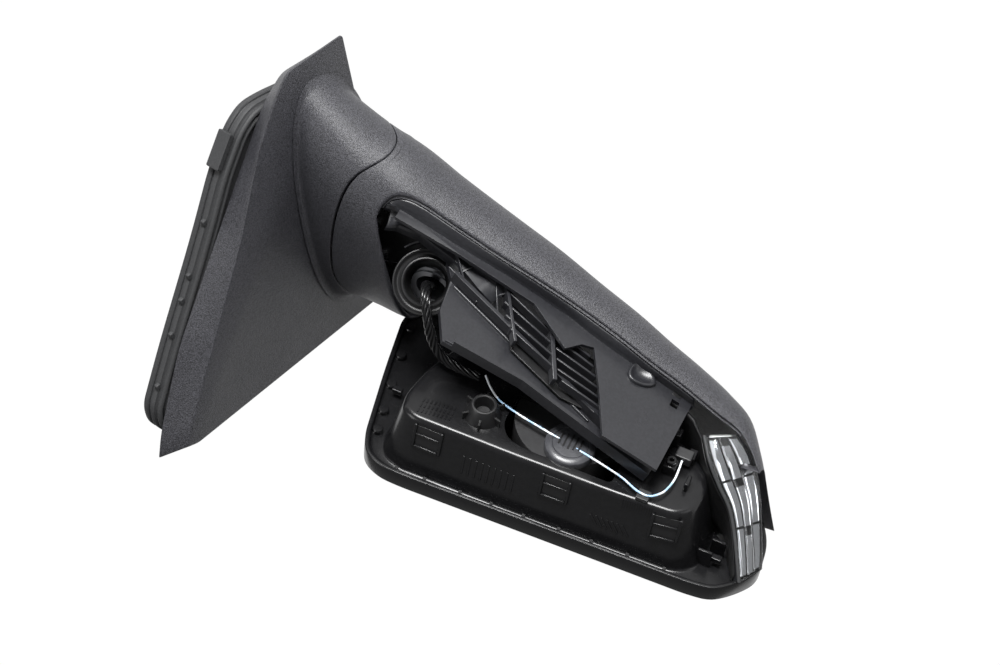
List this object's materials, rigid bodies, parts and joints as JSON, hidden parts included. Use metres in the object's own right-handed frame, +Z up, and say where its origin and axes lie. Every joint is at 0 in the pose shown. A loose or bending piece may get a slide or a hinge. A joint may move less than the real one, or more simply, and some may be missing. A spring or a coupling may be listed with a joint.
{
  "type": "car side mirror",
  "caption": "Right-hand door mirror with sail base, power-folding head, indicator lamp and electric glass, shown with its painted cap off.",
  "frame": {"origin": "centre of the three door studs, on the face that meets the door", "axes": "+X outboard from the door, +Y towards the front of the car, +Z up"},
  "size_m": [0.3011, 0.2115, 0.1514],
  "materials": {
    "grained_black": "fine moulded grain",
    "satin_black": "smooth satin",
    "gloss_black": "polished moulding",
    "motor_black": "plain moulding",
    "natural_nylon": "natural nylon",
    "seal_rubber": "matt rubber",
    "die_cast": "as cast",
    "zinc_steel": "zinc plated",
    "plain_steel": "oiled steel",
    "bright_reflector": "vapour metallised",
    "clear_lens": "clear polished",
    "circuit_board": "white solder mask",
    "silvered_glass": "silvered convex glass",
    "heater_foil": "foil on film",
    "cable_black": "glossy sleeve",
    "cable_white": "white insulation"
  },
  "bodies": {
    "base": {"base_bracket": "die_cast", "mounting_studs": "zinc_steel", "base_screws": "zinc_steel", "base_cover": "grained_black", "base_gasket": "seal_rubber", "gasket_clip": "seal_rubber", "cable_grommet": "seal_rubber", "pivot_tube": "plain_steel", "detent_ring_fixed": "plain_steel", "fold_spring": "plain_steel", "spring_washer": "zinc_steel", "pivot_circlip": "plain_steel"},
    "head": {"actuator_cover": "motor_black", "actuator_housing": "motor_black", "actuator_screws": "zinc_steel", "adjuster_motors": "zinc_steel", "ball_stud": "natural_nylon", "bezel_tray": "gloss_black", "cable_funnel": "satin_black", "cap_clips": "gloss_black", "carrier": "satin_black", "detent_ring_moving": "plain_steel", "fold_gearbox": "motor_black", "fold_motor": "zinc_steel", "gearbox_screws": "zinc_steel", "harness": "cable_black", "inner_panel": "satin_black", "lamp_connector": "motor_black", "lamp_housing": "satin_black", "lamp_led_board": "circuit_board", "lamp_lens": "clear_lens", "lamp_reflector": "bright_reflector", "lamp_wire": "cable_white", "louvre_panel": "satin_black", "lower_cover": "grained_black", "wire_clip": "motor_black"},
    "gimbal": {"gimbal_ring": "natural_nylon"},
    "glass": {"glass_carrier": "motor_black", "heater_pad": "heater_foil", "mirror_glass": "silvered_glass"},
    "rod_v": {"adjuster_rod_v": "natural_nylon"},
    "rod_h": {"adjuster_rod_h": "natural_nylon"},
    "gear_v": {"adjuster_gear_v": "natural_nylon"},
    "gear_h": {"adjuster_gear_h": "natural_nylon"}
  },
  "joints": [
    {"name": "head_fold", "type": "hinge", "parent": "base", "child": "head", "pos_m": [0.0854, -0.014, 0.00342], "axis": [0, 0, 1], "range_deg": [-60, 0]},
    {"name": "glass_turn", "type": "hinge", "parent": "head", "child": "gimbal", "pos_m": [0.16179, -0.06878, 0.04342], "axis": [0, 0, 1], "range_deg": [-8, 8]},
    {"name": "glass_nod", "type": "hinge", "parent": "gimbal", "child": "glass", "pos_m": [0.16179, -0.06878, 0.04342], "axis": [0.9659, -0.2588, 0], "range_deg": [-8, 8]},
    {"name": "rod_v_slide", "type": "slide", "parent": "head", "child": "rod_v", "axis": [0.2588, 0.9659, 0], "range_m": [-0.003, 0.003]},
    {"name": "rod_h_slide", "type": "slide", "parent": "head", "child": "rod_h", "axis": [0.2588, 0.9659, 0], "range_m": [-0.003, 0.003]},
    {"name": "gear_v_spin", "type": "hinge", "parent": "head", "child": "gear_v", "pos_m": [0.16437, -0.05913, 0.02692], "axis": [0.2588, 0.9659, 0], "range_deg": [-240, 240]},
    {"name": "gear_h_spin", "type": "hinge", "parent": "head", "child": "gear_h", "pos_m": [0.14844, -0.05486, 0.04342], "axis": [0.2588, 0.9659, 0], "range_deg": [-240, 240]}
  ],
  "couplings": [
    {"joint": "rod_v_slide", "follows": "glass_nod", "m_per_rad": 0.0165},
    {"joint": "rod_h_slide", "follows": "glass_turn", "m_per_rad": -0.0165},
    {"joint": "gear_v_spin", "follows": "glass_nod", "ratio": 25.918},
    {"joint": "gear_h_spin", "follows": "glass_turn", "ratio": -25.918}
  ]
}
